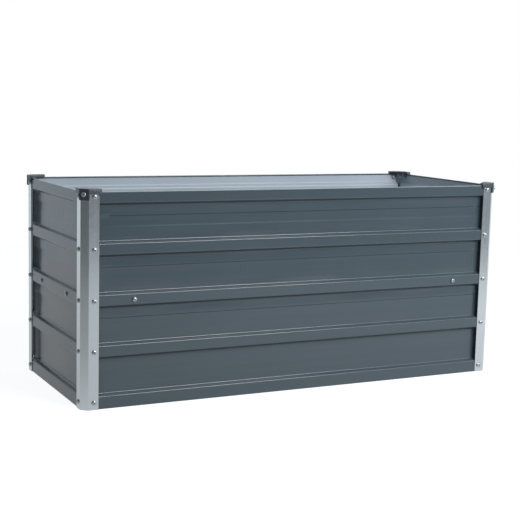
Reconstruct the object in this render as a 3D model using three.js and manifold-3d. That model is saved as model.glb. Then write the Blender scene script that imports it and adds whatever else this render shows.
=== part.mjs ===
// Raised garden bed: an open-bottomed box of four roll-formed steel wall panels. Folded zinc
// corner posts are bolted over the panel ends, a moulded cap closes each corner at the rim, and
// a flat brace crosses each inside corner behind the middle band.
// Millimetres, +Z up. The origin is the middle of the footprint, on the ground.
// X runs along the long walls, and the front long wall faces -Y.
import * as THREE from 'three';
import { mergeVertices } from 'three/addons/utils/BufferGeometryUtils.js';
import Module from 'manifold-3d';

const wasm = await Module();
wasm.setup();

// ---------------------------------------------------------------- driving dimensions

// Whole bed, over the flat outer faces of the corner posts.
const bedLength = 1000;
const bedWidth = 400;
const wallHeight = 440;

// Fits.
const fitGap = 0.3; // between neighbours that are bolted or pressed together
const shankClearance = 0.5; // all round a bolt shank in its hole
const panelEndClearance = 4; // from a panel's end to the neighbouring wall's field

// Wall panels: thin sheet with raised bands, and recessed fields between them.
const panelSheet = 0.8;
const bandCount = 5;
const bandFace = 22.8; // height of a raised band's flat face
const footBand = 26.8; // the same on the lowest band, which starts at the ground
const bandRelief = 10; // from a band's face back to the recessed field
const ledgeRise = 3; // sloped ledge above a band
const undercutRise = 5; // sloped underside below a band
const panelBend = 2; // bend radius along the bands
const rimRoll = 3.4; // rolled safety edge, top and bottom
const panelCornerRadius = 12; // top corners of the sheet

// Corner posts: sheet folded into two flanges with a bevel between them.
const postSheet = 1.2;
const bevelLeg = 13; // the bevel's reach along each wall
const flangeFlat = 22; // from the bevel to a flange's free edge
const postBend = 1.5;
const postCornerRadius = 12; // top corner of each flange

// Bolts: pan heads outside, hexagon nuts inside.
const boltDiameter = 5;
const boltHeadDiameter = 9.6;
const boltHeadHeight = 3.4;
const boltHeadEdge = 1.4; // straight side of the head, under its dome
const nutAcrossFlats = 8;
const nutHeight = 4;
const boltTip = 1.4; // thread that stands out of the nut
const boltFromFreeEdge = 10; // from the flange's free edge
const boltDrop = 12.1; // below a band's upper edge
const topBoltDrop = 10; // the same on the top band, which carries the rolled rim

// Corner caps: a moulded lid with a skirt, and a tongue over the post's bevel.
const capWall = 2.2;
const lidThickness = 2.4;
const capRise = 5.4; // from just over the rim to the cap's top
const skirtHeight = 10.4; // from the cap's top to the skirt's lower edge
const capEndGap = 1.3; // between a flange's free edge and the cap's end wall
const capInward = 8; // how far the cap's wings reach in over the wall
const tongueLength = 22.9; // from the cap's top
const tongueThickness = 2.8;
const tongueOverhang = 1.8; // past the bevel on each side
const capScrewDrop = 11.2; // from the cap's top

// Corner braces: a flat strap from wall to wall behind the middle band.
const braceLeg = 110; // from the bed's corner to a brace bolt, along the wall
const braceSheet = 1.5;
const braceHeight = 18;
const braceFoot = 9; // past the bolt, away from the corner
const braceBendSetback = 12; // from the bolt to the bend, towards the corner

// Faceting.
const bendSteps = 2;
const cornerSteps = 4;
const domeSteps = 2;
const roundSides = 8;
const rollSides = 8;

// ---------------------------------------------------------------- derived sizes

const bandPitch = (wallHeight - footBand) / (bandCount - 1);
const middleRow = Math.floor((bandCount - 1) / 2);
const bandDepth = postSheet + fitGap; // from the bed's outer face to a band's face
const bandBackDepth = bandDepth + panelSheet;
const fieldBackDepth = bandBackDepth + bandRelief;
const flangeReach = bevelLeg + flangeFlat;
const boltSetback = flangeReach - boltFromFreeEdge;
const endBehindField = fieldBackDepth + panelEndClearance;
const endBehindBevel = bevelLeg + (postSheet + fitGap) * Math.SQRT2 - bandDepth;
const panelEndSetback = Math.max(endBehindField, endBehindBevel);
const holeRadius = boltDiameter / 2 + shankClearance;
const rimTop = wallHeight + fitGap;
const capTop = rimTop + capRise;
const capOutset = fitGap + capWall;
const capReach = flangeReach + capEndGap + capWall;
const capBevelLeg = bevelLeg - capOutset * (Math.SQRT2 - 1);
const capScrewHeight = capTop - capScrewDrop;
const braceSeatDepth = bandBackDepth + fitGap;
const wallBoltGrip = bandBackDepth;
const capScrewGrip = fitGap + tongueThickness + postSheet;
const braceBoltGrip = panelSheet + fitGap + braceSheet;

// Bands and bolt rows are counted from 0 at the ground.
function upperEdge(band) {
  return footBand + band * bandPitch;
}

function rowHeight(row) {
  const drop = row === bandCount - 1 ? topBoltDrop : boltDrop;
  return upperEdge(row) - drop;
}

// ---------------------------------------------------------------- materials

function finish(color, roughness, metalness) {
  return new THREE.MeshStandardMaterial({ color, roughness, metalness });
}

const slatePaint = finish(0x58646b, 0.45, 0.1);
const zincSheet = finish(0xb4bbbd, 0.42, 0.85);
const braceZinc = finish(0xa9b0b2, 0.45, 0.85);
const boltZinc = finish(0xc9cdcf, 0.28, 0.95);
const capPlastic = finish(0x343d44, 0.5, 0);

// ---------------------------------------------------------------- solids

function solidOf(geometry) {
  const bare = geometry.clone();
  bare.deleteAttribute('normal');
  bare.deleteAttribute('uv');
  const merged = mergeVertices(bare, 1e-4);
  return new wasm.Manifold(new wasm.Mesh({
    numProp: 3,
    vertProperties: new Float32Array(merged.attributes.position.array),
    triVerts: new Uint32Array(merged.index.array),
  }));
}

function meshOf(name, solid, material) {
  const { vertProperties, triVerts } = solid.getMesh();
  const geometry = new THREE.BufferGeometry();
  geometry.setAttribute('position', new THREE.BufferAttribute(vertProperties, 3));
  geometry.setIndex(new THREE.BufferAttribute(triVerts, 1));
  geometry.computeVertexNormals();
  const mesh = new THREE.Mesh(geometry, material);
  mesh.name = name;
  return mesh;
}

function point(x, y) {
  return new THREE.Vector2(x, y);
}

// An outline in XY, raised from bottom to top along Z.
function prism(outline, bottom, top) {
  const shape = new THREE.Shape(outline);
  const geometry = new THREE.ExtrudeGeometry(shape, { depth: top - bottom, bevelEnabled: false });
  return geometry.translate(0, 0, bottom);
}

// An outline in XZ, as a plate that spans two depths along Y.
function wallPlate(outline, nearY, farY) {
  return prism(outline, -farY, -nearY).rotateX(Math.PI / 2);
}

// An outline in YZ, run along X.
function beam(outline, nearX, farX) {
  const turned = new THREE.Matrix4().makeBasis(
    new THREE.Vector3(0, 1, 0),
    new THREE.Vector3(0, 0, 1),
    new THREE.Vector3(1, 0, 0),
  );
  return prism(outline, nearX, farX).applyMatrix4(turned);
}

// A many-sided circle whose flats touch the true radius.
function roundOutline(radius, sides, centreX = 0, centreY = 0) {
  const cornerRadius = radius / Math.cos(Math.PI / sides);
  return Array.from({ length: sides }, (_, i) => {
    const angle = (2 * Math.PI * (i + 0.5)) / sides;
    return point(
      centreX + cornerRadius * Math.cos(angle),
      centreY + cornerRadius * Math.sin(angle),
    );
  });
}

// Each inner corner of an open path becomes an arc of the given radius.
function withBends(path, radius) {
  const bent = [path[0]];
  for (let i = 1; i < path.length - 1; i += 1) {
    const back = path[i - 1].clone().sub(path[i]).normalize();
    const ahead = path[i + 1].clone().sub(path[i]).normalize();
    const halfAngle = back.angleTo(ahead) / 2;
    const start = path[i].clone().addScaledVector(back, radius / Math.tan(halfAngle));
    const bisector = back.clone().add(ahead).normalize();
    const centre = path[i].clone().addScaledVector(bisector, radius / Math.sin(halfAngle));
    const turn = Math.sign(back.cross(ahead)) * (2 * halfAngle - Math.PI);
    for (let step = 0; step <= bendSteps; step += 1) {
      bent.push(start.clone().rotateAround(centre, (turn * step) / bendSteps));
    }
  }
  bent.push(path[path.length - 1]);
  return bent;
}

// The closed outline of a sheet: its path, and the parallel on the path's left.
function sheetOutline(path, thickness) {
  const parallel = path.map((here, i) => {
    const into = here.clone().sub(path[Math.max(i - 1, 0)]).normalize();
    const out = path[Math.min(i + 1, path.length - 1)].clone().sub(here).normalize();
    const along = into.clone().add(out).normalize();
    const offset = thickness / along.dot(i === 0 ? out : into);
    return point(here.x - along.y * offset, here.y + along.x * offset);
  });
  return [...path, ...parallel.reverse()];
}

// A path round the bed's corner: along one wall, across the bevel, along the other wall.
// The corner is at the origin and both walls run the positive way.
function cornerPath(inset, leg, reach) {
  return [point(inset, reach), point(inset, leg), point(leg, inset), point(reach, inset)];
}

// The waste outside a rounded top corner of an upright sheet. toSheet is the way from the
// corner to the sheet, 1 or -1.
function cornerWaste(corner, height, toSheet, radius) {
  const outside = 2;
  const waste = [point(corner, height - radius)];
  for (let step = 1; step <= cornerSteps; step += 1) {
    const angle = (Math.PI / 2) * (step / cornerSteps);
    waste.push(point(
      corner + toSheet * radius * (1 - Math.cos(angle)),
      height - radius * (1 - Math.sin(angle)),
    ));
  }
  waste.push(point(corner + toSheet * radius, height + outside));
  waste.push(point(corner - toSheet * outside, height + outside));
  waste.push(point(corner - toSheet * outside, height - radius));
  return waste;
}

// ---------------------------------------------------------------- wall panels

// The panel's path from rim to foot, in (depth, height). The sheet lies on its left, inward.
function panelPath() {
  const fieldDepth = bandDepth + bandRelief;
  const path = [point(bandDepth, wallHeight - rimRoll / 2)];
  for (let band = bandCount - 1; band > 0; band -= 1) {
    const lowerEdge = upperEdge(band) - bandFace;
    const nextUpperEdge = upperEdge(band - 1);
    path.push(point(bandDepth, lowerEdge));
    path.push(point(fieldDepth, lowerEdge - undercutRise));
    path.push(point(fieldDepth, nextUpperEdge + ledgeRise));
    path.push(point(bandDepth, nextUpperEdge));
  }
  path.push(point(bandDepth, rimRoll / 2));
  return withBends(path, panelBend);
}

function rolledEdge(height) {
  return roundOutline(rimRoll / 2, rollSides, bandDepth + rimRoll / 2, height);
}

// A panel for a wall of the given overall length, centred on X, with its bands facing -Y.
function wallPanel(wallLength) {
  const end = wallLength / 2 - panelEndSetback;
  let panel = solidOf(beam(sheetOutline(panelPath(), panelSheet), -end, end));
  for (const height of [rimRoll / 2, wallHeight - rimRoll / 2]) {
    panel = panel.add(solidOf(beam(rolledEdge(height), -end, end)));
  }
  for (const side of [-1, 1]) {
    const waste = cornerWaste(side * end, wallHeight, -side, panelCornerRadius);
    panel = panel.subtract(solidOf(wallPlate(waste, 0, bandDepth + rimRoll + fitGap)));
    const boltX = side * (wallLength / 2 - boltSetback);
    for (let row = 0; row < bandCount; row += 1) {
      panel = panel.subtract(wallHole(boltX, rowHeight(row)));
    }
    const braceX = side * (wallLength / 2 - braceLeg);
    panel = panel.subtract(wallHole(braceX, rowHeight(middleRow)));
  }
  return panel;
}

// A bolt hole through a wall at x and height, through the outer sheets only.
function wallHole(x, height) {
  const outline = roundOutline(holeRadius, roundSides, x, height);
  return solidOf(wallPlate(outline, -fitGap, braceSeatDepth));
}

// ---------------------------------------------------------------- corner posts

function cornerPost() {
  const path = withBends(cornerPath(0, bevelLeg, flangeReach), postBend);
  let post = solidOf(prism(sheetOutline(path, postSheet), 0, wallHeight));
  const waste = cornerWaste(flangeReach, wallHeight, -1, postCornerRadius);
  post = post.subtract(solidOf(wallPlate(waste, -fitGap, bandDepth)));
  post = post.subtract(solidOf(beam(waste, -fitGap, bandDepth)));
  for (let row = 0; row < bandCount; row += 1) {
    const hole = roundOutline(holeRadius, roundSides, boltSetback, rowHeight(row));
    post = post.subtract(solidOf(wallPlate(hole, -fitGap, bandDepth)));
    post = post.subtract(solidOf(beam(hole, -fitGap, bandDepth)));
  }
  return post.subtract(capScrewHole());
}

// Turns a shape made for a face at the corner looking -Y so that it sits on the bevel.
function ontoBevel(geometry) {
  return geometry.rotateZ(-Math.PI / 4).translate(bevelLeg / 2, bevelLeg / 2, 0);
}

// Runs through the cap's tongue and the post's bevel.
function capScrewHole() {
  const outline = roundOutline(holeRadius, roundSides, 0, capScrewHeight);
  const outer = -(tongueThickness + 2 * fitGap);
  return solidOf(ontoBevel(wallPlate(outline, outer, postSheet + fitGap)));
}

// ---------------------------------------------------------------- corner caps

function cornerCap() {
  const outer = cornerPath(-capOutset, capBevelLeg, capReach);
  const innerCorners = [point(capReach, capInward), point(capInward, capReach)];
  const lid = solidOf(prism([...outer, ...innerCorners], capTop - lidThickness, capTop));
  const skirt = prism(sheetOutline(outer, capWall), capTop - skirtHeight, capTop);
  const endPath = [outer[3], ...innerCorners, outer[0]];
  const endWalls = prism(sheetOutline(endPath, capWall), rimTop, capTop);
  const halfTongue = bevelLeg * Math.SQRT1_2 + tongueOverhang;
  const tongue = wallPlate([
    point(-halfTongue, capTop - tongueLength),
    point(halfTongue, capTop - tongueLength),
    point(halfTongue, capTop),
    point(-halfTongue, capTop),
  ], -(fitGap + tongueThickness), -fitGap);
  return lid
    .add(solidOf(skirt))
    .add(solidOf(endWalls))
    .add(solidOf(ontoBevel(tongue)))
    .subtract(capScrewHole());
}

// ---------------------------------------------------------------- bolts

// A bolt and its nut, about Z. The clamped face is at z = 0 and the head stands above it.
// grip is the thickness that the bolt holds, and nutGap what the nut keeps from it.
function boltShapes(grip, nutGap) {
  const shankRadius = boltDiameter / 2;
  const headRadius = boltHeadDiameter / 2;
  const domeHeight = boltHeadHeight - boltHeadEdge;
  const nutTop = -(grip + nutGap);
  const tip = nutTop - nutHeight - boltTip;
  const profile = [
    point(0, tip),
    point(shankRadius, tip),
    point(shankRadius, fitGap),
    point(headRadius, fitGap),
  ];
  for (let step = 0; step < domeSteps; step += 1) {
    const angle = (Math.PI / 2) * (step / domeSteps);
    const rise = boltHeadEdge + domeHeight * Math.sin(angle);
    profile.push(point(headRadius * Math.cos(angle), fitGap + rise));
  }
  profile.push(point(0, fitGap + boltHeadHeight));
  const bolt = new THREE.LatheGeometry(profile, roundSides).rotateX(Math.PI / 2);
  const nut = prism(roundOutline(nutAcrossFlats / 2, 6), nutTop - nutHeight, nutTop);
  return [bolt, nut];
}

function joined(shapes) {
  return shapes.map(solidOf).reduce((whole, solid) => whole.add(solid));
}

// Turns a bolt's head from +Z to look out of a wall. turn is 0 for the wall along X, a quarter
// turn back for the wall along Y, and half of that for the bevel.
function facing(mesh, turn, x, y, z) {
  mesh.rotation.set(Math.PI / 2, 0, turn, 'ZYX');
  mesh.position.set(x, y, z);
  return mesh;
}

const alongX = 0;
const alongY = -Math.PI / 2;
const onBevel = -Math.PI / 4;

// ---------------------------------------------------------------- corner braces

// The strap with its two bolts, whose nuts are drawn up tight on its feet.
function cornerBrace() {
  const height = rowHeight(middleRow);
  const bendLeg = braceLeg - braceBendSetback;
  const path = cornerPath(braceSeatDepth, bendLeg, braceLeg + braceFoot);
  const strap = sheetOutline(path, braceSheet);
  const shapes = [prism(strap, height - braceHeight / 2, height + braceHeight / 2)];
  for (const shape of boltShapes(braceBoltGrip, 0)) {
    const looksOut = shape.rotateX(Math.PI / 2);
    const besideY = looksOut.clone().rotateZ(alongY);
    shapes.push(looksOut.translate(braceLeg, bandDepth, height));
    shapes.push(besideY.translate(bandDepth, braceLeg, height));
  }
  return joined(shapes);
}

// ---------------------------------------------------------------- assembly

const bed = new THREE.Group();

// Walls, each turned a quarter from the one before it.
const walls = [
  { name: 'front', length: bedLength, x: 0, y: -bedWidth / 2 },
  { name: 'right', length: bedWidth, x: bedLength / 2, y: 0 },
  { name: 'back', length: bedLength, x: 0, y: bedWidth / 2 },
  { name: 'left', length: bedWidth, x: -bedLength / 2, y: 0 },
];
walls.forEach((wall, quarter) => {
  const panel = meshOf(`${wall.name}_panel`, wallPanel(wall.length), slatePaint);
  panel.position.set(wall.x, wall.y, 0);
  panel.rotation.z = (quarter * Math.PI) / 2;
  bed.add(panel);
});

// Corners, in the same turning order. Each starts the wall of its own quarter, and ends the
// wall before it.
const corners = [
  { name: 'front_left', x: -bedLength / 2, y: -bedWidth / 2 },
  { name: 'front_right', x: bedLength / 2, y: -bedWidth / 2 },
  { name: 'back_right', x: bedLength / 2, y: bedWidth / 2 },
  { name: 'back_left', x: -bedLength / 2, y: bedWidth / 2 },
];
corners.forEach((corner, quarter) => {
  const group = new THREE.Group();
  group.position.set(corner.x, corner.y, 0);
  group.rotation.z = (quarter * Math.PI) / 2;
  group.add(meshOf(`${corner.name}_post`, cornerPost(), zincSheet));
  group.add(meshOf(`${corner.name}_cap`, cornerCap(), capPlastic));
  group.add(meshOf(`${corner.name}_brace`, cornerBrace(), braceZinc));

  const screw = meshOf(
    `${corner.name}_cap_screw`,
    joined(boltShapes(capScrewGrip, fitGap)),
    boltZinc,
  );
  const seat = bevelLeg / 2 - (fitGap + tongueThickness) * Math.SQRT1_2;
  group.add(facing(screw, onBevel, seat, seat, capScrewHeight));

  const ownWall = walls[quarter].name;
  const wallBefore = walls[(quarter + walls.length - 1) % walls.length].name;
  for (let row = 0; row < bandCount; row += 1) {
    const bolt = joined(boltShapes(wallBoltGrip, fitGap));
    const ownName = `${corner.name}_bolt_${ownWall}_${row + 1}`;
    const beforeName = `${corner.name}_bolt_${wallBefore}_${row + 1}`;
    const own = meshOf(ownName, bolt, boltZinc);
    const before = meshOf(beforeName, bolt, boltZinc);
    group.add(facing(own, alongX, boltSetback, 0, rowHeight(row)));
    group.add(facing(before, alongY, 0, boltSetback, rowHeight(row)));
  }
  bed.add(group);
});

export default bed;
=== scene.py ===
import random
from math import cos, pi, radians, sin, sqrt, tan

import bmesh
import bpy
from mathutils import Matrix, Vector


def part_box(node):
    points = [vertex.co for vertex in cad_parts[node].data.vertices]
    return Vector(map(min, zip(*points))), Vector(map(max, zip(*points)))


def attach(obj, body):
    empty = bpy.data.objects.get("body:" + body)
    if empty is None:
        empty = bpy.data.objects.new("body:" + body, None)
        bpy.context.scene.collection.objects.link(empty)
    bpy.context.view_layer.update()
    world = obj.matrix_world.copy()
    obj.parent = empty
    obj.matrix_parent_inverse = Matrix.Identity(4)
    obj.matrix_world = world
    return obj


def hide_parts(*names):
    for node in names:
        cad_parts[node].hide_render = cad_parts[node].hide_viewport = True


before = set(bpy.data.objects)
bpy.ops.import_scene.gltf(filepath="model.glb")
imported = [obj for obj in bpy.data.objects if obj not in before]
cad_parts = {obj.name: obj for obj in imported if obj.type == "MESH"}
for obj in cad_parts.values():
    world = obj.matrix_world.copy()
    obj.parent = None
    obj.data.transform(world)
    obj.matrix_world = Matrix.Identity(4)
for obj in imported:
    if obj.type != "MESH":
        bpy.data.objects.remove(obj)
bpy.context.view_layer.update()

# ---------------------------------------------------------------- camera
# The photograph's view: a long lens a little higher than the rim, aimed across the front left
# corner, with a slight roll. The picture is square.

camera_place = Vector((-1.2209, -2.4092, 0.6402))
camera_heading = radians(26.705)
camera_dip = radians(8.059)
camera_roll = radians(1.418)

camera = bpy.data.objects.new("camera", bpy.data.cameras.new("camera"))
camera.data.sensor_fit = "HORIZONTAL"
camera.data.sensor_width = 36
camera.data.lens = 81.84
camera.matrix_world = (
    Matrix.Translation(camera_place)
    @ Matrix.Rotation(-camera_heading, 4, "Z")
    @ Matrix.Rotation(radians(90) - camera_dip, 4, "X")
    @ Matrix.Rotation(camera_roll, 4, "Z")
)
bpy.context.scene.collection.objects.link(camera)
bpy.context.scene.camera = camera
bpy.context.scene.view_settings.view_transform = "Standard"


# ---------------------------------------------------------------- studio
# A pale floor under a white sky that is softer on the right, one large soft lamp in front, a
# little to the right, and a long low one that brightens the right half.
# The floor and the sky read as plain white behind the bed, and the floor keeps its shadow.


def plug(sockets, name):
    """The socket with this identifier, or the first one where no name is given."""
    if name is None:
        return sockets[0] if len(sockets) else None
    return next(socket for socket in sockets if socket.identifier == name)


class Wire:
    """A socket of a node tree. Arithmetic on it adds Math nodes, and add makes any other node."""

    def __init__(self, tree, socket=None):
        self.tree = tree
        self.socket = socket

    def add(self, kind, settings=None, sockets=None, output=None):
        node = self.tree.nodes.new("ShaderNode" + kind)
        for name, value in (settings or {}).items():
            setattr(node, name, value)
        for name, value in (sockets or {}).items():
            socket = plug(node.inputs, name)
            if isinstance(value, Wire):
                self.tree.links.new(value.socket, socket)
            else:
                socket.default_value = value
        return Wire(self.tree, plug(node.outputs, output))

    def math(self, operation, first, second):
        return self.add("Math", {"operation": operation}, {"Value": first, "Value_001": second})

    def __add__(self, other):
        return self.math("ADD", self, other)

    __radd__ = __add__

    def __sub__(self, other):
        return self.math("SUBTRACT", self, other)

    def __rsub__(self, other):
        return self.math("SUBTRACT", other, self)

    def __mul__(self, other):
        return self.math("MULTIPLY", self, other)

    __rmul__ = __mul__


def grey(level):
    return (level, level, level, 1)


def colour(red, green, blue):
    """A colour written as a screen shows it, from 0 to 255, as the shader takes it."""
    shares = (red / 255, green / 255, blue / 255)
    return (*((s / 12.92 if s < 0.04045 else ((s + 0.055) / 1.055) ** 2.4) for s in shares), 1)


def blend(wire, mask, first, second):
    """A colour that goes from the first to the second as the mask goes from 0 to 1."""
    sockets = {"Factor_Float": mask, "A_Color": first, "B_Color": second}
    return wire.add("Mix", {"data_type": "RGBA"}, sockets, "Result_Color")


def seen_directly(wire, mirrored, soft):
    """1 for what the camera sees, and the levels given for its mirror image and for soft light."""
    camera_ray = wire.add("LightPath", output="Is Camera Ray")
    glossy_ray = wire.add("LightPath", output="Is Glossy Ray")
    through_ray = wire.add("LightPath", output="Is Transmission Ray")
    mirror_ray = wire.math("MAXIMUM", glossy_ray, through_ray)
    soft_ray = 1 - wire.math("MAXIMUM", camera_ray, mirror_ray)
    return wire.math("MAXIMUM", camera_ray, mirror_ray * mirrored + soft_ray * soft)


def fade(wire, vector, side, start, end, bright, dark):
    """A level that goes from bright to dark as a vector leans towards a side."""
    lean = wire.add(
        "VectorMath",
        {"operation": "DOT_PRODUCT"},
        {"Vector": vector, "Vector_001": side},
        "Value",
    )
    span = {"From Min": start, "From Max": end, "To Min": bright, "To Max": dark}
    return wire.add("MapRange", {"interpolation_type": "SMOOTHSTEP"}, {"Value": lean, **span})


left_sky = 0.39  # soft light from the left, of a full white sky
right_sky = 0.22
right = Vector((1, 0, 0))
room_side = Vector((-0.6, -0.8, 0))  # towards the dark room, which mirror images show
room_reach = (-1.2, 1)  # the lean at which the room begins, and where it is darkest
room_light = 0.14
cool_white = colour(238, 248, 255)  # the studio's light; the backdrop itself looks white
mirrored_sky = 1.0  # away from the room
floor_colour = colour(138, 146, 151)
floor_lift = 0.90  # brings the lit floor up to the photograph's white
floor_sheen = 0.72  # how much of that lift a mirror image of the floor has
floor_gloom = 0.30  # the same on the floor's dark side
dark_side = Vector((-0.9, -0.45, 0))
dark_reach = (0, 1.3)  # metres towards that side, from the start of the gloom to its full depth
floor_radius = 2.3
lamp_place = Vector((0.95, -2.5, 1.95))
lamp_target = Vector((0, 0, 0.25))
lamp_side = 1.4
lamp_power = 56
fill_place = Vector((1.3, -1.25, 0.9))
fill_target = Vector((0.4, 0, 0.25))
fill_sides = (2.2, 0.4)
fill_power = 11

world = bpy.data.worlds.new("studio")
world.use_nodes = True
world.node_tree.nodes.clear()
sky = Wire(world.node_tree)
direction = sky.add("TexCoord", output="Generated")
mirror_light = fade(sky, direction, room_side, *room_reach, mirrored_sky, room_light)
soft_light = fade(sky, direction, right, -1, 1, left_sky, right_sky)
brightness = seen_directly(sky, mirror_light, soft_light)
sky_colour = blend(sky, sky.add("LightPath", output="Is Camera Ray"), cool_white, grey(1))
backdrop = sky.add("Background", sockets={"Color": sky_colour, "Strength": brightness})
sky.add("OutputWorld", sockets={"Surface": backdrop})
bpy.context.scene.world = world

floor_mesh = bpy.data.meshes.new("floor")
disc = bmesh.new()
bmesh.ops.create_circle(disc, cap_ends=True, segments=96, radius=floor_radius)
disc.to_mesh(floor_mesh)
disc.free()
floor = bpy.data.objects.new("floor", floor_mesh)
bpy.context.scene.collection.objects.link(floor)

floor_paper = bpy.data.materials.new("floor_paper")
floor_paper.use_nodes = True
floor_paper.node_tree.nodes.clear()
paper = Wire(floor_paper.node_tree)
paper_face = paper.add("BsdfDiffuse", sockets={"Color": floor_colour})
paper_place = paper.add("TexCoord", output="Object")
paper_sheen = fade(paper, paper_place, dark_side, *dark_reach, floor_sheen, floor_gloom)
paper_lift = seen_directly(paper, paper_sheen, 0) * floor_lift
paper_glow = paper.add("Emission", sockets={"Strength": paper_lift})
paper_both = paper.add("AddShader", sockets={"Shader": paper_face, "Shader_001": paper_glow})
paper.add("OutputMaterial", sockets={"Surface": paper_both})
floor_mesh.materials.append(floor_paper)


def soft_lamp(name, place, target, sides, power):
    """An oblong lamp that faces its target."""
    light = bpy.data.lights.new(name, "AREA")
    light.shape = "RECTANGLE"
    light.size, light.size_y = sides
    light.energy = power
    lamp = bpy.data.objects.new(name, light)
    lamp.location = place
    lamp.rotation_euler = (target - place).to_track_quat("-Z", "Y").to_euler()
    bpy.context.scene.collection.objects.link(lamp)


soft_lamp("main_lamp", lamp_place, lamp_target, (lamp_side, lamp_side), lamp_power)
soft_lamp("fill_lamp", fill_place, fill_target, fill_sides, fill_power)


# ---------------------------------------------------------------- wall panels
# Four walls of roll-formed, coil-coated steel sheet: slate outside, pale blue-grey inside.
# Five raised bands stiffen each wall, and the top and bottom edges are rolled over.

panel_sheet = 0.0008
band_count = 5
band_face = 0.0228
foot_band = 0.0268  # the lowest band's face, from the ground
panel_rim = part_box("front_panel")[1].z
band_pitch = (panel_rim - foot_band) / (band_count - 1)
band_relief = 0.010
ledge_rise = 0.003
undercut_rise = 0.005
panel_bend = 0.003
panel_support = 0.0012  # from each bend to the points beside it
panel_rows = 0.007
panel_stations = 0.012
roll_radius = 0.0017
roll_sweep = radians(285)
roll_steps = 16
# The part of them over the rim's crest. Its paler coat stands in for the bright line that the
# studio's lamps leave there in the photograph.
crest_steps = (2, 7)
panel_corner = 0.012
# How far a field lies in from true, as (drop from the band over it, depth). The rollers leave
# a sharp little step in all fields but the lowest, and a smaller one back out in the top one.
field_top = (undercut_rise, 0)
field_foot = band_pitch - band_face - ledge_rise
step_start = (0.0260, -0.0008)
step_end = (0.0270, 0.0010)
plain_lean = (field_top, (field_foot, 0))
stepped_lean = (field_top, step_start, step_end, (field_foot, 0))
ribbed_lean = (field_top, step_start, step_end, (0.0455, 0.0006), (0.0515, 0), (field_foot, 0))
field_leans = (plain_lean, stepped_lean, stepped_lean, ribbed_lean)  # from the lowest up
wave_depth = 0.00022
long_wave = 17  # radians a metre
short_wave = 31
wave_fades = (0.06, 0.012)  # margins at a field's ends, and along its edges
lean_fades = (0.05, 0.008)
bolt_hole = 0.003
hole_reach = 0.02  # of a drill, to each side of its hole
brace_setback = 0.110  # from the bed's corner to a brace's bolt, along the wall

# Each wall looks out along -Y in its own frame, and is then turned by quarters.
wall_names = ("front", "right", "back", "left")
corner_names = ("front_left", "front_right", "back_right", "back_left")


def turned(quarter):
    return Matrix.Rotation(quarter * pi / 2, 4, "Z")


def rolled_bends(path, radius, steps=6):
    """An open path in a plane, with each of its inner corners rounded to the radius."""
    bent = [path[0]]
    for before, here, after in zip(path, path[1:], path[2:]):
        back = (before - here).normalized()
        ahead = (after - here).normalized()
        half = back.angle(ahead) / 2
        if half > radians(89.9):
            bent.append(here)
            continue
        centre = here + (back + ahead).normalized() * radius / sin(half)
        spoke = here + back * radius / tan(half) - centre
        turns_left = back.x * ahead.y < back.y * ahead.x
        sweep = (pi - 2 * half) * (1 if turns_left else -1)
        for step in range(steps + 1):
            bent.append(centre + Matrix.Rotation(sweep * step / steps, 2) @ spoke)
    bent.append(path[-1])
    return bent


def offset_right(path, distance):
    """The parallel of an open path, that far to its right."""
    parallel = []
    for i, here in enumerate(path):
        out = (path[min(i + 1, len(path) - 1)] - here).normalized()
        into = (here - path[max(i - 1, 0)]).normalized()
        along = (into + out).normalized()
        reach = distance / along.dot(out if i == 0 else into)
        parallel.append(here + Vector((along.y, -along.x)) * reach)
    return parallel


def with_supports(path, margin, longest):
    """The path with extra points beside each corner, and along its long straights."""
    dense = [path[0]]
    for start, end in zip(path, path[1:]):
        length = (end - start).length
        if length > 4 * margin:
            inner = length - 2 * margin
            count = max(1, round(inner / longest))
            for i in range(count + 1):
                dense.append(start.lerp(end, (margin + inner * i / count) / length))
        dense.append(end)
    return dense


def skin(name, shells):
    """A mesh of closed shells. Each is rings of equal length, and the faces that close one ring."""
    points = []
    faces = []
    for rings, end_faces in shells:
        size = len(rings[0])
        first = len(points)
        points += [point for ring in rings for point in ring]
        last = len(points) - size
        for low in range(first, last, size):
            for i in range(size):
                j = (i + 1) % size
                faces.append((low + i, low + j, low + size + j, low + size + i))
        for face in end_faces:
            faces.append(tuple(first + i for i in reversed(face)))
            faces.append(tuple(last + i for i in face))
    mesh = bpy.data.meshes.new(name)
    mesh.from_pydata(points, [], faces)
    tidy = bmesh.new()
    tidy.from_mesh(mesh)
    bmesh.ops.remove_doubles(tidy, verts=tidy.verts, dist=1e-7)
    bmesh.ops.recalc_face_normals(tidy, faces=tidy.faces)
    tidy.to_mesh(mesh)
    tidy.free()
    piece = bpy.data.objects.new(name, mesh)
    bpy.context.scene.collection.objects.link(piece)
    return piece


def sheet_ends(size):
    """The faces that close a ring that runs along a sheet's one side and back along its other."""
    return [(i, i + 1, size - 2 - i, size - 1 - i) for i in range(size // 2 - 1)]


def rod(radius, start, end, sides=32):
    """A shell round the line between two points."""
    turn = (end - start).to_track_quat("Z", "Y").to_matrix()
    angles = [2 * pi * i / sides for i in range(sides)]
    spokes = [turn @ Vector((cos(angle), sin(angle), 0)) * radius for angle in angles]
    rings = [[centre + spoke for spoke in spokes] for centre in (start, end)]
    return rings, [tuple(range(sides))]


def carve(piece, tool, operation="DIFFERENCE"):
    """Cuts the tool out of the piece, or joins it on, and leaves no tool behind."""
    step = piece.modifiers.new("carve", "BOOLEAN")
    step.solver = "EXACT"
    step.operation = operation
    step.object = tool
    carved = piece.evaluated_get(bpy.context.evaluated_depsgraph_get())
    mesh = bpy.data.meshes.new_from_object(carved)
    piece.modifiers.clear()
    piece.data = mesh
    bpy.data.objects.remove(tool)


def show(piece, crisp=radians(32)):
    """Shades a finished mesh smooth up to its real edges, and makes it part of the bed."""
    piece.data.shade_smooth()
    piece.data.set_sharp_from_angle(angle=crisp)
    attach(piece, "root")


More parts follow.
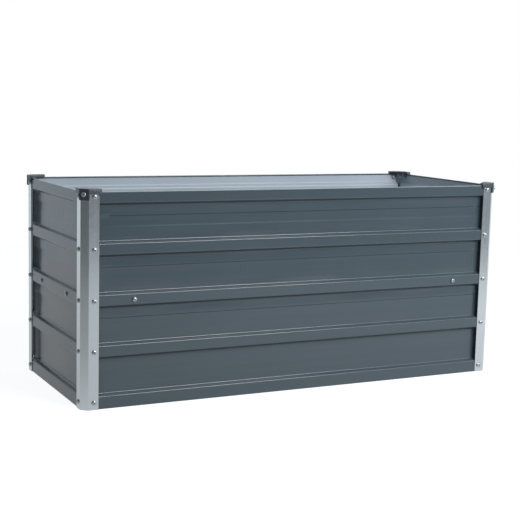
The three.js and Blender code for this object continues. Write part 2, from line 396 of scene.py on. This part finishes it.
def new_finish(name):
    """An empty material, and a wire that its nodes are added to."""
    finish = bpy.data.materials.new(name)
    finish.use_nodes = True
    finish.node_tree.nodes.clear()
    return finish, Wire(finish.node_tree)


def coil_coat(name, body, streaked, rough):
    """Baked coil paint: rolling streaks along the wall, faint mottle, and fine orange peel."""
    finish, wire = new_finish(name)
    place = wire.add("TexCoord", output="Object")
    stretched = wire.add("Mapping", sockets={"Vector": place, "Scale": (2.2, 2.2, 70)})
    streaks = wire.add("TexNoise", sockets={"Vector": stretched, "Scale": 1, "Detail": 4})
    mottle = wire.add("TexNoise", sockets={"Vector": place, "Scale": 9, "Detail": 3})
    peel = wire.add("TexNoise", sockets={"Vector": place, "Scale": 700, "Detail": 2})
    bump = wire.add("Bump", sockets={"Strength": 0.05, "Distance": 0.00002, "Height": peel})
    paint = wire.add("BsdfPrincipled", sockets={
        "Base Color": blend(wire, streaks * 0.7 + mottle * 0.3, body, streaked),
        "Roughness": mottle * 0.08 + (rough - 0.04),
        "Normal": bump,
        "IOR": 1.58,
    })
    wire.add("OutputMaterial", sockets={"Surface": paint})
    return finish


slate_paint = coil_coat("slate_paint", colour(66, 79, 87), colour(77, 91, 100), 0.20)
inside_coat = coil_coat("inside_coat", colour(168, 179, 188), colour(183, 195, 205), 0.35)
# A painted highlight: the pale colour on the rim's crest stands in for the bright line the lamps
# leave there.
crest_painted_highlight = coil_coat("crest_painted_highlight", colour(164, 180, 186), colour(182, 198, 204), 0.25)


def field_edges(field):
    """The upper edge of the band under a field, and the lower edge of the band over it."""
    under = foot_band + field * band_pitch
    return under, under + band_pitch - band_face


def panel_side():
    """The outside of a wall's sheet as (depth, height), from the foot's roll up to the rim's."""
    face = [Vector((0, 2 * roll_radius))]
    for field in range(band_count - 1):
        under, over = field_edges(field)
        face.append(Vector((0, under)))
        face.append(Vector((band_relief, under + ledge_rise)))
        drops = [drop for drop, _ in reversed(field_leans[field])]
        for low, high in zip(drops, drops[1:]):
            for step in range(1, 6):
                face.append(Vector((band_relief, over - low + (low - high) * step / 5)))
        face.append(Vector((0, over)))
    face.append(Vector((0, panel_rim - 2 * roll_radius)))
    face = with_supports(rolled_bends(face, panel_bend), panel_support, panel_rows)
    turn = -roll_sweep / roll_steps
    sweeps = [Matrix.Rotation(turn * i, 2) for i in range(roll_steps + 1)]
    outward = Vector((-roll_radius, 0))
    foot = Vector((roll_radius, roll_radius))
    top = Vector((roll_radius, panel_rim - roll_radius))
    foot_roll = [foot + sweep.inverted() @ outward for sweep in reversed(sweeps)]
    rim_roll = [top + sweep @ outward for sweep in sweeps]
    return foot_roll + face + rim_roll


def smooth(share):
    """0 up to a share of 0, 1 from a share of 1, and an even S between them."""
    share = min(max(share, 0), 1)
    return share * share * (3 - 2 * share)


def swell(value, low, high, margin):
    """0 outside a stretch, rising smoothly to 1 within a margin inside it."""
    return smooth(min(value - low, high - value) / margin)


def field_sway(along, height, half, phase):
    """How far thin sheet lies in from true between the bands: soft waves, and the lean."""
    sway = 0
    for field in range(band_count - 1):
        under, over = field_edges(field)
        waves = sin(along * long_wave + phase + field * 2.1)
        waves += 0.6 * sin(along * short_wave - phase - field)
        inside = swell(height, under + ledge_rise, over - undercut_rise, wave_fades[1])
        sway += inside * swell(along, -half, half, wave_fades[0]) * waves * wave_depth
        lean = 0
        for (start, depth), (end, next_depth) in zip(field_leans[field], field_leans[field][1:]):
            lean += (next_depth - depth) * smooth((over - height - start) / (end - start))
        inside = swell(height, under, over, lean_fades[1])
        sway += lean * swell(along, -half, half, lean_fades[0]) * inside
    return sway


def middle_of(node):
    low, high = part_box(node)
    return (low + high) / 2


def brace_bolt_spots(wall):
    """Where the two brace bolts pass a wall's band faces, the one nearer its start first."""
    quarter = wall_names.index(wall)
    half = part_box("back_right_post")[1][quarter % 2]
    low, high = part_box(wall + "_panel")
    across = 1 - quarter % 2
    depth = max(abs(low[across]), abs(high[across]))
    height = middle_of("front_left_brace").z
    near = half - brace_setback
    return [turned(quarter) @ Vector((along, -depth, height)) for along in (-near, near)]


def wall_panel(wall):
    quarter = wall_names.index(wall)
    low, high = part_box(wall + "_panel")
    across = 1 - quarter % 2
    half = high[quarter % 2]
    face = -max(abs(low[across]), abs(high[across]))
    outside = panel_side()
    ring = outside + offset_right(outside, panel_sheet)[::-1]
    count = round(2 * half / panel_stations)
    rings = []
    for station in range(count + 1):
        points = []
        for depth, height in ring:
            over = min(max(height - panel_rim + panel_corner, 0), panel_corner)
            reach = half - panel_corner + sqrt(panel_corner**2 - over**2)
            along = (2 * station / count - 1) * reach
            sway = field_sway(along, height, half, quarter)
            points.append(turned(quarter) @ Vector((along, face + depth + sway, height)))
        rings.append(points)
    piece = skin(wall + "_wall", [(rings, sheet_ends(len(ring)))])
    piece.data.materials.append(slate_paint)
    piece.data.materials.append(inside_coat)
    piece.data.materials.append(crest_painted_highlight)
    roll_start = len(outside) - roll_steps - 1
    crest_start, crest_end = (roll_start + step for step in crest_steps)
    for polygon in piece.data.polygons:
        rows = [corner % len(ring) for corner in polygon.vertices]
        if min(rows) >= len(outside):
            polygon.material_index = 1
        elif min(rows) >= crest_start and max(rows) <= crest_end:
            # The faces over the rim's crest take the painted highlight.
            polygon.material_index = 2
    bolts = [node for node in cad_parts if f"_bolt_{wall}_" in node]
    spots = [middle_of(bolt) for bolt in bolts] + brace_bolt_spots(wall)
    outward = turned(quarter).to_3x3() @ Vector((0, -hole_reach, 0))
    carve(piece, skin("holes", [rod(bolt_hole, spot - outward, spot + outward) for spot in spots]))
    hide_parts(wall + "_panel")
    show(piece)


for wall in wall_names:
    wall_panel(wall)

# ---------------------------------------------------------------- corner posts
# Galvanised sheet folded into two flanges with a bevel between them, over the panels' ends.
# The free top corners are rounded, and all cut edges are eased.

post_sheet = 0.0012
post_bevel = 0.013  # its reach along each wall
post_bend = 0.0015
post_support = 0.0006
post_columns = 0.006
post_corner = 0.012
sheet_ease = 0.00025
tip_thinning = 0.6  # of the ease, taken off each side at a sheet's cut edges
corner_steps = 9
cap_screw_drop = 0.0112  # from the cap's top to its screw


def corner_frame(corner):
    """A frame at a corner of the bed, with one wall along its +X and the other along its +Y."""
    low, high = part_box(corner + "_post")
    x = low.x if "left" in corner else high.x
    y = low.y if "front" in corner else high.y
    return Matrix.Translation((x, y, 0)) @ turned(corner_names.index(corner))


def corner_path(inset, leg, reach):
    """A path round the corner in its own frame: in along one wall, over the bevel, out again."""
    return [Vector(p) for p in ((reach, inset), (leg, inset), (inset, leg), (inset, reach))]


def eased_sheet(path, thickness, ease, thinner):
    """The outline of sheet between a path and its parallel on the right, its ends eased."""
    tips = [offset_right(path, ease), offset_right(path, thickness - ease)]
    ring = [tips[0][0]]
    for side in (offset_right(path, thinner), offset_right(path, thickness - thinner)[::-1]):
        start = (side[1] - side[0]).normalized() * ease
        end = (side[-2] - side[-1]).normalized() * ease
        ring += [side[0] + start, *side[1:-1], side[-1] + end]
        if len(ring) == len(side) + 1:
            ring += [tips[0][-1], tips[1][-1]]
    ring.append(tips[1][0])
    return ring


def folded_sheet(name, path, thickness, foot, top, foot_corner, top_corner):
    """Upright sheet folded round a corner of the bed, in that corner's own frame.

    Its free corners are rounded to the radii given for its foot and its top.
    """
    reach = max(path[0])
    widest = max(foot_corner, top_corner)
    angles = [radians(90) * i / corner_steps for i in range(1, corner_steps + 1)]
    setbacks = [widest * (1 - cos(angle)) for angle in angles]
    into = [Vector((reach - setback, path[0].y)) for setback in setbacks]
    middle = [p for p in path[1:-1] if max(p) < reach - widest - sheet_ease]
    path = path[:1] + into + middle + [p.yx for p in into[::-1]] + path[-1:]
    thinned = sheet_ease * tip_thinning
    rows = [(thinned, 0, 0), (0, 0, sheet_ease), (0, 0, 2 * sheet_ease)]
    rows += [(0, share / 8, 0) for share in range(1, 8)]
    rows += [(0, 1, -2 * sheet_ease), (0, 1, -sheet_ease), (thinned, 1, 0)]
    rings = []
    for thinner, share, lift in rows:
        ring = []
        for spot in eased_sheet(path, thickness, sheet_ease, thinner):
            levels = []
            for radius in (foot_corner, top_corner):
                short = min(max(radius - (reach - max(spot)), 0), radius)
                levels.append(radius - sqrt(radius**2 - short**2))
            low = foot + levels[0]
            ring.append(Vector((*spot, low + (top - levels[1] - low) * share + lift)))
        rings.append(ring)
    return skin(name, [(rings, sheet_ends(len(rings[0])))])


def galvanised(name, light, dark, spangle_size, rough):
    """Hot-dip zinc: faint flat crystals a few millimetres wide, under soft runs down the sheet."""
    finish, wire = new_finish(name)
    place = wire.add("TexCoord", output="Object")
    crystal = wire.add(
        "TexVoronoi",
        {"feature": "F1"},
        {"Vector": place, "Scale": 1 / spangle_size, "Randomness": 1},
        "Color",
    )
    shade = wire.add("SeparateColor", sockets={"Color": crystal}, output="Red")
    stretched = wire.add("Mapping", sockets={"Vector": place, "Scale": (150, 150, 4)})
    runs = wire.add("TexNoise", sockets={"Vector": stretched, "Scale": 1, "Detail": 3})
    zinc = wire.add("BsdfPrincipled", sockets={
        "Base Color": blend(wire, shade * 0.3 + runs * 0.7, dark, light),
        "Metallic": 1,
        "Roughness": shade * 0.02 + runs * 0.08 + (rough - 0.05),
    })
    wire.add("OutputMaterial", sockets={"Surface": zinc})
    return finish


post_zinc = galvanised("post_zinc", colour(210, 215, 217), colour(200, 206, 209), 0.005, 0.22)


def corner_post(corner):
    low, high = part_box(corner + "_post")
    path = rolled_bends(corner_path(0, post_bevel, high.x - low.x), post_bend)
    path = with_supports(path, post_support, post_columns)
    piece = folded_sheet(corner + "_corner_post", path, post_sheet, 0, high.z, 0, post_corner)
    piece.data.transform(corner_frame(corner))
    piece.data.materials.append(post_zinc)
    bevel_out = corner_frame(corner).to_3x3() @ Vector((-1, -1, 0)).normalized() * hole_reach
    holes = [(middle_of(corner + "_cap_screw"), bevel_out)]
    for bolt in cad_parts:
        if bolt.startswith(corner + "_bolt_"):
            quarter = wall_names.index(bolt.split("_")[3])
            wall_out = turned(quarter).to_3x3() @ Vector((0, -hole_reach, 0))
            holes.append((middle_of(bolt), wall_out))
    shells = [rod(bolt_hole, spot - outward, spot + outward) for spot, outward in holes]
    carve(piece, skin("holes", shells))
    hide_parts(corner + "_post")
    show(piece)


for corner in corner_names:
    corner_post(corner)

# ---------------------------------------------------------------- corner caps
# Dark moulded plastic: a flat lid over the corner, a skirt outside the walls, and a thick tongue
# over the post's bevel, which one screw holds.

cap_wall = 0.0022
cap_skirt = 0.0104  # from the cap's top to its lower edge
cap_lid = 0.0024
cap_rise = 0.0054  # from over the rim to the cap's top
cap_gap = 0.0003  # between the cap and the post
cap_inward = 0.008  # how far its wings reach in over the walls
cap_round = 0.0008
cap_corner_round = 0.0013
skirt_ease = 0.0003
tongue_half = 0.01099
tongue_thickness = 0.0028
tongue_drop = 0.0229
tongue_corner = 0.0016
tongue_round = 0.0006
tongue_ease = 0.0001
past_cap = 0.01  # how far a cutting block stands out past the cap


def closed_bends(corners, radius, steps=5):
    """A closed outline with each of its corners rounded to the radius."""
    bent = []
    count = len(corners)
    for i in range(count):
        three = [corners[i - 1], corners[i], corners[(i + 1) % count]]
        bent += rolled_bends(three, radius, steps)[1:-1]
    return bent


def shrunk(outline, distance):
    """A closed outline, run with its inside on the right, drawn in by the distance."""
    size = len(outline)
    drawn = []
    for i, here in enumerate(outline):
        into = (here - outline[i - 1]).normalized()
        out = (outline[(i + 1) % size] - here).normalized()
        along = (into + out).normalized()
        drawn.append(here + Vector((along.y, -along.x)) * (distance / along.dot(out)))
    return drawn


def block(outline, levels):
    """A shell over an outline, at levels given as (height, how far it is drawn in there)."""
    rings = [[Vector((*p, height)) for p in shrunk(outline, inset)] for height, inset in levels]
    return rings, [tuple(range(len(outline)))]


def eased_levels(bottom, top, ease_bottom, ease_top, steps=4):
    """Levels from bottom to top, with both edges rounded to quarter circles."""
    angles = [pi / 2 * i / steps for i in range(steps + 1)]
    lower = [(bottom + ease_bottom * (1 - sin(a)), ease_bottom * (1 - cos(a))) for a in angles[::-1]]
    upper = [(top - ease_top * (1 - sin(a)), ease_top * (1 - cos(a))) for a in angles]
    return lower + upper


def moulded(name, body, lighter, rough):
    """Moulded plastic with a fine spark-eroded grain."""
    finish, wire = new_finish(name)
    place = wire.add("TexCoord", output="Object")
    cloud = wire.add("TexNoise", sockets={"Vector": place, "Scale": 25, "Detail": 3})
    grain = wire.add("TexNoise", sockets={"Vector": place, "Scale": 1600, "Detail": 3})
    bump = wire.add("Bump", sockets={"Strength": 0.2, "Distance": 0.00004, "Height": grain})
    plastic = wire.add("BsdfPrincipled", sockets={
        "Base Color": blend(wire, cloud, body, lighter),
        "Roughness": cloud * 0.1 + (rough - 0.05),
        "Normal": bump,
        "IOR": 1.8,
    })
    wire.add("OutputMaterial", sockets={"Surface": plastic})
    return finish


cap_plastic = moulded("cap_plastic", colour(38, 48, 58), colour(46, 57, 68), 0.42)


def corner_cap(corner):
    low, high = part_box(corner + "_cap")
    top = high.z
    outset = cap_gap + cap_wall
    reach = high.x - low.x - outset
    outer = corner_path(-outset, post_bevel - outset * (sqrt(2) - 1), reach)
    inner = [Vector((cap_inward, reach)), Vector((reach, cap_inward))]
    skirt_foot = top - cap_skirt
    lid = closed_bends(outer + inner, cap_corner_round)
    levels = eased_levels(skirt_foot, top, skirt_ease, cap_round)
    piece = skin(corner + "_corner_cap", [block(lid, levels)])
    far = reach + past_cap
    skirt_inside = offset_right(corner_path(-outset, outer[1].x, far), cap_wall)
    under_rim = skirt_inside + [Vector((far, far))]
    rim = top - cap_rise
    carve(piece, skin("under_rim", [block(under_rim, [(skirt_foot - past_cap, 0), (rim, 0)])]))
    hollow = shrunk(outer + inner, cap_wall)
    carve(piece, skin("hollow", [block(hollow, [(rim - 0.001, 0), (top - cap_lid, 0)])]))
    foot = top - tongue_drop
    half = tongue_half
    face = [Vector(p) for p in ((-half, foot), (-half, top), (half, top), (half, foot))]
    face = closed_bends(face, tongue_corner)
    levels = eased_levels(0, tongue_thickness, tongue_ease, tongue_round)
    tongue = skin("tongue", [block(face, levels)])
    stand = Matrix(((1, 0, 0, 0), (0, 0, -1, -cap_gap), (0, 1, 0, 0), (0, 0, 0, 1)))
    mid_bevel = Matrix.Translation((post_bevel / 2, post_bevel / 2, 0))
    tongue.data.transform(mid_bevel @ Matrix.Rotation(-pi / 4, 4, "Z") @ stand)
    carve(piece, tongue, "UNION")
    screw = Vector((post_bevel / 2, post_bevel / 2, top - cap_screw_drop))
    outward = Vector((-0.008, -0.008, 0))
    carve(piece, skin("hole", [rod(bolt_hole, screw - outward, screw + outward)]))
    piece.data.transform(corner_frame(corner))
    piece.data.materials.clear()
    piece.data.materials.append(cap_plastic)
    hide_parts(corner + "_cap")
    show(piece)


for corner in corner_names:
    corner_cap(corner)

# ---------------------------------------------------------------- wall bolts
# M5 zinc-plated pan head bolts with a cross recess, each drawn up by a hexagon nut inside.

bolt_radius = 0.0025
head_radius = 0.0048
head_height = 0.0037
head_edge = 0.0015  # straight side of the head, under its dome
head_ease = 0.0003
seat_gap = 0.00002
thread_pitch = 0.0008
thread_depth = 0.0004
nut_half = 0.004  # half of its width across flats
nut_height = 0.004
bolt_tip = 0.0014
tip_taper = 0.0006
nut_flat = 0.97  # of its half width, before the chamfer starts
nut_chamfer = radians(30)
recess_depth = 0.0021
recess_mouth = (0.0027, 0.0006)  # an arm's length and half width
recess_floor = (0.0012, 0.0004)


def lathe(profile, sides):
    """A shell turned about Z from a profile of (radius, height)."""
    angles = [2 * pi * i / sides for i in range(sides)]
    return [[Vector((r * cos(a), r * sin(a), z)) for a in angles] for r, z in profile], []


def bolt_mesh(name, grip, nut_gap):
    """A bolt through that much sheet, with its nut. Its clamped face lies at z = 0, head up."""
    crown = [radians(90) * i / 7 for i in range(8)]
    profile = [(0, seat_gap), (head_radius - head_ease, seat_gap)]
    profile.append((head_radius, seat_gap + head_ease))
    dome = head_height - head_edge
    profile += [(head_radius * cos(a) ** 0.7, head_edge + dome * sin(a)) for a in crown[:-1]]
    profile.append((0, head_height))
    head = skin(name, [lathe(profile, 40)])
    for turn in (0, pi / 2):
        arm = [Vector(p) for p in ((-1, -1), (-1, 1), (1, 1), (1, -1))]
        rings = []
        for height, (length, width) in ((0.0001, recess_mouth), (-recess_depth, recess_floor)):
            corners = [Vector((p.x * length, p.y * width, head_height + height)) for p in arm]
            rings.append([Matrix.Rotation(turn, 3, "Z") @ corner for corner in corners])
        carve(head, skin("recess", [(rings, [(0, 1, 2, 3)])]))
    sides = 24
    end = -(grip + nut_gap + nut_height + bolt_tip)
    rows = round(-end / (thread_pitch / 4))
    thread = [[Vector((0, 0, 0.001))] * sides]
    for row in range(rows + 1):
        height = seat_gap + (end - seat_gap) * row / rows
        ring = []
        for i in range(sides):
            phase = (height / thread_pitch + i / sides) % 1
            tapered = max(0, tip_taper - (height - end)) * 0.8
            radius = bolt_radius - thread_depth * abs(2 * phase - 1) - tapered
            angle = 2 * pi * i / sides
            ring.append(Vector((radius * cos(angle), radius * sin(angle), height)))
        thread.append(ring)
    thread.append([Vector((0, 0, end))] * sides)
    sides = 48
    angles = [2 * pi * i / sides for i in range(sides)]
    hexagon = [nut_half / cos((angle + pi / 6) % (pi / 3) - pi / 6) for angle in angles]
    nut_top = -(grip + nut_gap)
    bore = bolt_radius + 0.00003
    nut = []
    for face, inward in ((nut_top, -1), (nut_top - nut_height, 1)):
        flat = [(bore, face)] * sides
        trim = [(min(r, nut_half * nut_flat), face) for r in hexagon]
        slope = inward * tan(nut_chamfer)
        side = [(r, face + slope * max(0, r - nut_half * nut_flat)) for r in hexagon]
        nut += [flat, trim, side] if inward < 0 else [side, trim, flat]
    nut.append(nut[0])
    nut = [[Vector((r * cos(a), r * sin(a), z)) for (r, z), a in zip(ring, angles)] for ring in nut]
    rest = skin("rest", [(thread, []), (nut, [])])
    both = bmesh.new()
    both.from_mesh(head.data)
    both.from_mesh(rest.data)
    both.to_mesh(head.data)
    both.free()
    bpy.data.objects.remove(rest)
    mesh = head.data
    mesh.materials.clear()
    mesh.materials.append(bolt_zinc)
    bpy.data.objects.remove(head)
    return mesh


def plated(name):
    """Bright zinc plate, lightly hazed."""
    finish, wire = new_finish(name)
    place = wire.add("TexCoord", output="Object")
    haze = wire.add("TexNoise", sockets={"Vector": place, "Scale": 260, "Detail": 3})
    zinc = wire.add("BsdfPrincipled", sockets={
        "Base Color": blend(wire, haze, colour(168, 174, 179), colour(192, 198, 202)),
        "Metallic": 1,
        "Roughness": haze * 0.14 + 0.30,
    })
    wire.add("OutputMaterial", sockets={"Surface": zinc})
    return finish


bolt_zinc = plated("bolt_zinc")
turns = random.Random(5)


def set_bolt(name, mesh, seat, outward):
    """A bolt whose head stands on a face at the seat and looks outward, turned as it happened."""
    piece = bpy.data.objects.new(name, mesh)
    bpy.context.scene.collection.objects.link(piece)
    aim = outward.to_track_quat("Z", "Y").to_matrix().to_4x4()
    own_turn = Matrix.Rotation(turns.uniform(0, pi), 4, "Z")
    piece.matrix_world = Matrix.Translation(seat) @ aim @ own_turn
    show(piece)
    return piece


sheet_fit = 0.0003  # between sheets that are bolted together
nut_fit = 0.0003
wall_grip = post_sheet + sheet_fit + panel_sheet
wall_bolt = bolt_mesh("wall_bolt", wall_grip, nut_fit)
for node in [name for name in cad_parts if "_bolt_" in name]:
    wall = node.split("_")[3]
    outward = turned(wall_names.index(wall)).to_3x3() @ Vector((0, -1, 0))
    low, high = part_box(node)
    reach = abs(outward.dot(high - low)) / 2
    seat = (low + high) / 2 + outward * (reach - head_height)
    piece = set_bolt(node.replace("_bolt_", "_pan_bolt_"), wall_bolt, seat, outward)
    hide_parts(node)

# ---------------------------------------------------------------- cap screws
# The same kind of bolt, longer, through each cap's tongue and the post's bevel.

cap_grip = tongue_thickness + cap_gap + post_sheet
cap_screw = bolt_mesh("cap_screw", cap_grip, nut_fit)
for corner in corner_names:
    node = corner + "_cap_screw"
    place = corner_frame(corner)
    outward = (place.to_3x3() @ Vector((-1, -1, 0))).normalized()
    from_corner = post_bevel / 2 - (cap_gap + tongue_thickness) / sqrt(2)
    seat = place @ Vector((from_corner, from_corner, middle_of(node).z))
    piece = set_bolt(corner + "_tongue_screw", cap_screw, seat, outward)
    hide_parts(node)

# ---------------------------------------------------------------- corner braces
# A flat galvanised strap across each inside corner behind the middle band, with a bolt at each
# foot, which holds the long walls square when the bed is filled.

strap_sheet = 0.0015
strap_half = 0.009  # half of its height
strap_inset = 0.0026  # from the bed's outer face to the strap, through post, band and fit
strap_foot_bend = 0.012  # from the bolt to the bend, towards the corner
strap_past_bolt = 0.009
strap_bend = 0.003
strap_corner = 0.003

strap_zinc = galvanised("strap_zinc", colour(200, 205, 208), colour(186, 192, 195), 0.006, 0.36)
brace_grip = panel_sheet + sheet_fit + strap_sheet
brace_bolt = bolt_mesh("brace_bolt", brace_grip, seat_gap)


def corner_brace(corner):
    height = middle_of(corner + "_brace").z
    leg = brace_setback - strap_foot_bend
    path = rolled_bends(corner_path(strap_inset, leg, brace_setback + strap_past_bolt), strap_bend)
    levels = (height - strap_half, height + strap_half, strap_corner, strap_corner)
    piece = folded_sheet(corner + "_corner_brace", path, strap_sheet, *levels)
    foot = Vector((brace_setback, 0, height))
    out = Vector((0, -hole_reach, 0))
    shells = [rod(bolt_hole, foot - out, foot + out)]
    shells.append(rod(bolt_hole, (foot - out).yxz, (foot + out).yxz))
    carve(piece, skin("holes", shells))
    piece.data.transform(corner_frame(corner))
    piece.data.materials.clear()
    piece.data.materials.append(strap_zinc)
    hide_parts(corner + "_brace")
    show(piece)


for corner in corner_names:
    corner_brace(corner)
for quarter, wall in enumerate(wall_names):
    corners = (corner_names[quarter], corner_names[(quarter + 1) % 4])
    outward = turned(quarter).to_3x3() @ Vector((0, -1, 0))
    for corner, seat in zip(corners, brace_bolt_spots(wall)):
        set_bolt(f"{corner}_brace_bolt_{wall}", brace_bolt, seat, outward)
